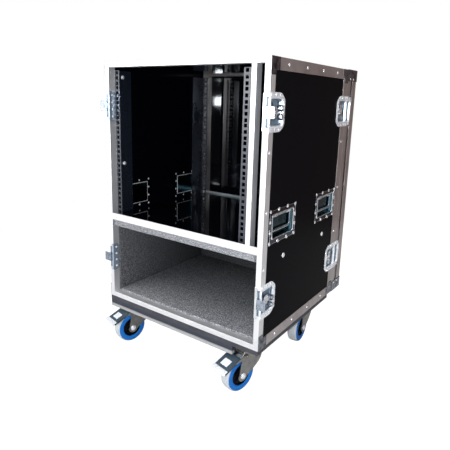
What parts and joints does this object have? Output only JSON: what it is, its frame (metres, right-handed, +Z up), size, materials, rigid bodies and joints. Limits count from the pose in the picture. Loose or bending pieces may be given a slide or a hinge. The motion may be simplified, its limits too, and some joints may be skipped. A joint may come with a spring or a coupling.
{
  "type": "equipment rack case",
  "caption": "Tall plywood flight case on swivel castors: an open-front rack bay with square-hole strips over a felt-lined bay, a side slot, turn latches and a lift-off rear lid.",
  "frame": {"origin": "on the floor under the middle of the whole object", "axes": "+Z up, +Y towards the rear lid, +X to the right of someone who faces the open front"},
  "size_m": [0.6094, 0.6232, 0.902],
  "materials": {
    "laminated_ply": "black laminate, semi-gloss, faintly textured",
    "base_ply": "matt black paint",
    "felt": "dark grey felt",
    "edging": "satin natural",
    "rack_steel": "satin black",
    "latch_plate": "bright plated, pressed",
    "key_zinc": "bright plated",
    "grip_chrome": "bright plated",
    "corner_steel": "bright plated, pressed",
    "rivet_steel": "bright",
    "bolt_steel": "zinc plated",
    "zinc_steel": "zinc plated, warm grey",
    "tread": "matt grey rubber",
    "hub": "moulded, dark"
  },
  "bodies": {
    "case": {"side_panel_right": "laminated_ply", "side_panel_left": "laminated_ply", "top_panel": "laminated_ply", "bottom_panel": "laminated_ply", "middle_shelf": "laminated_ply", "partition_panel": "laminated_ply", "storage_lining": "felt", "front_edging": "edging", "rear_edging": "edging", "corner_angles": "edging", "divider_edging": "edging", "rack_strips_front": "rack_steel", "rack_strips_rear": "rack_steel", "latch_pans": "latch_plate", "handle_pans": "latch_plate", "corner_plates": "corner_steel", "rivets": "rivet_steel", "coach_bolts": "bolt_steel", "castor_board": "base_ply", "front_skirt": "base_ply", "castor_plates": "zinc_steel", "castor_bolts": "bolt_steel"},
    "lid": {"lid_panels": "laminated_ply", "lid_edging": "edging", "lid_keepers": "latch_plate", "lid_ball_corners": "corner_steel"},
    "key_front_high_right": {"latch_key_front_high_right": "key_zinc"},
    "hook_front_high_right": {"latch_hook_front_high_right": "zinc_steel"},
    "key_front_high_left": {"latch_key_front_high_left": "key_zinc"},
    "hook_front_high_left": {"latch_hook_front_high_left": "zinc_steel"},
    "key_front_low_right": {"latch_key_front_low_right": "key_zinc"},
    "hook_front_low_right": {"latch_hook_front_low_right": "zinc_steel"},
    "key_front_low_left": {"latch_key_front_low_left": "key_zinc"},
    "hook_front_low_left": {"latch_hook_front_low_left": "zinc_steel"},
    "key_rear_high_right": {"latch_key_rear_high_right": "key_zinc"},
    "hook_rear_high_right": {"latch_hook_rear_high_right": "zinc_steel"},
    "key_rear_high_left": {"latch_key_rear_high_left": "key_zinc"},
    "hook_rear_high_left": {"latch_hook_rear_high_left": "zinc_steel"},
    "key_rear_low_right": {"latch_key_rear_low_right": "key_zinc"},
    "hook_rear_low_right": {"latch_hook_rear_low_right": "zinc_steel"},
    "key_rear_low_left": {"latch_key_rear_low_left": "key_zinc"},
    "hook_rear_low_left": {"latch_hook_rear_low_left": "zinc_steel"},
    "grip_front_right": {"handle_grip_front_right": "grip_chrome"},
    "grip_front_left": {"handle_grip_front_left": "grip_chrome"},
    "grip_rear_right": {"handle_grip_rear_right": "grip_chrome"},
    "grip_rear_left": {"handle_grip_rear_left": "grip_chrome"},
    "fork_front_right": {"castor_fork_front_right": "zinc_steel"},
    "wheel_front_right": {"castor_tyre_front_right": "tread", "castor_hub_front_right": "hub"},
    "pedal_front_right": {"castor_pedal_front_right": "zinc_steel"},
    "fork_front_left": {"castor_fork_front_left": "zinc_steel"},
    "wheel_front_left": {"castor_tyre_front_left": "tread", "castor_hub_front_left": "hub"},
    "pedal_front_left": {"castor_pedal_front_left": "zinc_steel"},
    "fork_rear_right": {"castor_fork_rear_right": "zinc_steel"},
    "wheel_rear_right": {"castor_tyre_rear_right": "tread", "castor_hub_rear_right": "hub"},
    "fork_rear_left": {"castor_fork_rear_left": "zinc_steel"},
    "wheel_rear_left": {"castor_tyre_rear_left": "tread", "castor_hub_rear_left": "hub"}
  },
  "joints": [
    {"name": "lid_lift_off", "type": "slide", "parent": "case", "child": "lid", "axis": [0, 1, 0], "range_m": [0, 0.12]},
    {"name": "key_turn_front_high_right", "type": "hinge", "parent": "case", "child": "key_front_high_right", "pos_m": [0.28, -0.218, 0.771], "axis": [1, 0, 0], "range_deg": [0, 180]},
    {"name": "hook_travel_front_high_right", "type": "slide", "parent": "case", "child": "hook_front_high_right", "axis": [0, -1, 0], "range_m": [0, 0.01]},
    {"name": "key_turn_front_high_left", "type": "hinge", "parent": "case", "child": "key_front_high_left", "pos_m": [-0.28, -0.218, 0.771], "axis": [-1, 0, 0], "range_deg": [0, 180]},
    {"name": "hook_travel_front_high_left", "type": "slide", "parent": "case", "child": "hook_front_high_left", "axis": [0, -1, 0], "range_m": [0, 0.01]},
    {"name": "key_turn_front_low_right", "type": "hinge", "parent": "case", "child": "key_front_low_right", "pos_m": [0.28, -0.218, 0.289], "axis": [1, 0, 0], "range_deg": [0, 180]},
    {"name": "hook_travel_front_low_right", "type": "slide", "parent": "case", "child": "hook_front_low_right", "axis": [0, -1, 0], "range_m": [0, 0.01]},
    {"name": "key_turn_front_low_left", "type": "hinge", "parent": "case", "child": "key_front_low_left", "pos_m": [-0.28, -0.218, 0.289], "axis": [-1, 0, 0], "range_deg": [0, 180]},
    {"name": "hook_travel_front_low_left", "type": "slide", "parent": "case", "child": "hook_front_low_left", "axis": [0, -1, 0], "range_m": [0, 0.01]},
    {"name": "key_turn_rear_high_right", "type": "hinge", "parent": "case", "child": "key_rear_high_right", "pos_m": [0.28, 0.196, 0.771], "axis": [1, 0, 0], "range_deg": [0, 180]},
    {"name": "hook_travel_rear_high_right", "type": "slide", "parent": "case", "child": "hook_rear_high_right", "axis": [0, 1, 0], "range_m": [0, 0.01]},
    {"name": "key_turn_rear_high_left", "type": "hinge", "parent": "case", "child": "key_rear_high_left", "pos_m": [-0.28, 0.196, 0.771], "axis": [-1, 0, 0], "range_deg": [0, 180]},
    {"name": "hook_travel_rear_high_left", "type": "slide", "parent": "case", "child": "hook_rear_high_left", "axis": [0, 1, 0], "range_m": [0, 0.01]},
    {"name": "key_turn_rear_low_right", "type": "hinge", "parent": "case", "child": "key_rear_low_right", "pos_m": [0.28, 0.196, 0.289], "axis": [1, 0, 0], "range_deg": [0, 180]},
    {"name": "hook_travel_rear_low_right", "type": "slide", "parent": "case", "child": "hook_rear_low_right", "axis": [0, 1, 0], "range_m": [0, 0.01]},
    {"name": "key_turn_rear_low_left", "type": "hinge", "parent": "case", "child": "key_rear_low_left", "pos_m": [-0.28, 0.196, 0.289], "axis": [-1, 0, 0], "range_deg": [0, 180]},
    {"name": "hook_travel_rear_low_left", "type": "slide", "parent": "case", "child": "hook_rear_low_left", "axis": [0, 1, 0], "range_m": [0, 0.01]},
    {"name": "grip_lift_front_right", "type": "hinge", "parent": "case", "child": "grip_front_right", "pos_m": [0.2775, -0.156, 0.5098], "axis": [0, -1, 0], "range_deg": [0, 90], "stiffness_Nm_per_rad": 0.15},
    {"name": "grip_lift_front_left", "type": "hinge", "parent": "case", "child": "grip_front_left", "pos_m": [-0.2775, -0.156, 0.5098], "axis": [0, 1, 0], "range_deg": [0, 90], "stiffness_Nm_per_rad": 0.15},
    {"name": "grip_lift_rear_right", "type": "hinge", "parent": "case", "child": "grip_rear_right", "pos_m": [0.2775, 0.122, 0.5098], "axis": [0, -1, 0], "range_deg": [0, 90], "stiffness_Nm_per_rad": 0.15},
    {"name": "grip_lift_rear_left", "type": "hinge", "parent": "case", "child": "grip_rear_left", "pos_m": [-0.2775, 0.122, 0.5098], "axis": [0, 1, 0], "range_deg": [0, 90], "stiffness_Nm_per_rad": 0.15},
    {"name": "swivel_front_right", "type": "hinge", "parent": "case", "child": "fork_front_right", "pos_m": [0.217, -0.19, 0.125], "axis": [0, 0, 1], "continuous": true},
    {"name": "roll_front_right", "type": "hinge", "parent": "fork_front_right", "child": "wheel_front_right", "pos_m": [0.20708, -0.22978, 0.05], "axis": [0.9703, -0.2419, 0], "continuous": true},
    {"name": "pedal_press_front_right", "type": "hinge", "parent": "fork_front_right", "child": "pedal_front_right", "pos_m": [0.21023, -0.21717, 0.106], "axis": [0.9703, -0.2419, 0], "range_deg": [0, 8]},
    {"name": "swivel_front_left", "type": "hinge", "parent": "case", "child": "fork_front_left", "pos_m": [-0.217, -0.19, 0.125], "axis": [0, 0, 1], "continuous": true},
    {"name": "roll_front_left", "type": "hinge", "parent": "fork_front_left", "child": "wheel_front_left", "pos_m": [-0.22692, -0.22978, 0.05], "axis": [0.9703, -0.2419, 0], "continuous": true},
    {"name": "pedal_press_front_left", "type": "hinge", "parent": "fork_front_left", "child": "pedal_front_left", "pos_m": [-0.22377, -0.21717, 0.106], "axis": [0.9703, -0.2419, 0], "range_deg": [0, 8]},
    {"name": "swivel_rear_right", "type": "hinge", "parent": "case", "child": "fork_rear_right", "pos_m": [0.217, 0.161, 0.125], "axis": [0, 0, 1], "continuous": true},
    {"name": "roll_rear_right", "type": "hinge", "parent": "fork_rear_right", "child": "wheel_rear_right", "pos_m": [0.21986, 0.1201, 0.05], "axis": [0.9976, 0.0698, 0], "continuous": true},
    {"name": "swivel_rear_left", "type": "hinge", "parent": "case", "child": "fork_rear_left", "pos_m": [-0.217, 0.161, 0.125], "axis": [0, 0, 1], "continuous": true},
    {"name": "roll_rear_left", "type": "hinge", "parent": "fork_rear_left", "child": "wheel_rear_left", "pos_m": [-0.21414, 0.1201, 0.05], "axis": [0.9976, 0.0698, 0], "continuous": true}
  ],
  "couplings": [
    {"joint": "key_turn_front_high_right", "follows": "hook_travel_front_high_right", "rad_per_m": 314},
    {"joint": "key_turn_front_high_left", "follows": "hook_travel_front_high_left", "rad_per_m": 314},
    {"joint": "key_turn_front_low_right", "follows": "hook_travel_front_low_right", "rad_per_m": 314},
    {"joint": "key_turn_front_low_left", "follows": "hook_travel_front_low_left", "rad_per_m": 314},
    {"joint": "key_turn_rear_high_right", "follows": "hook_travel_rear_high_right", "rad_per_m": 314},
    {"joint": "key_turn_rear_high_left", "follows": "hook_travel_rear_high_left", "rad_per_m": 314},
    {"joint": "key_turn_rear_low_right", "follows": "hook_travel_rear_low_right", "rad_per_m": 314},
    {"joint": "key_turn_rear_low_left", "follows": "hook_travel_rear_low_left", "rad_per_m": 314}
  ]
}
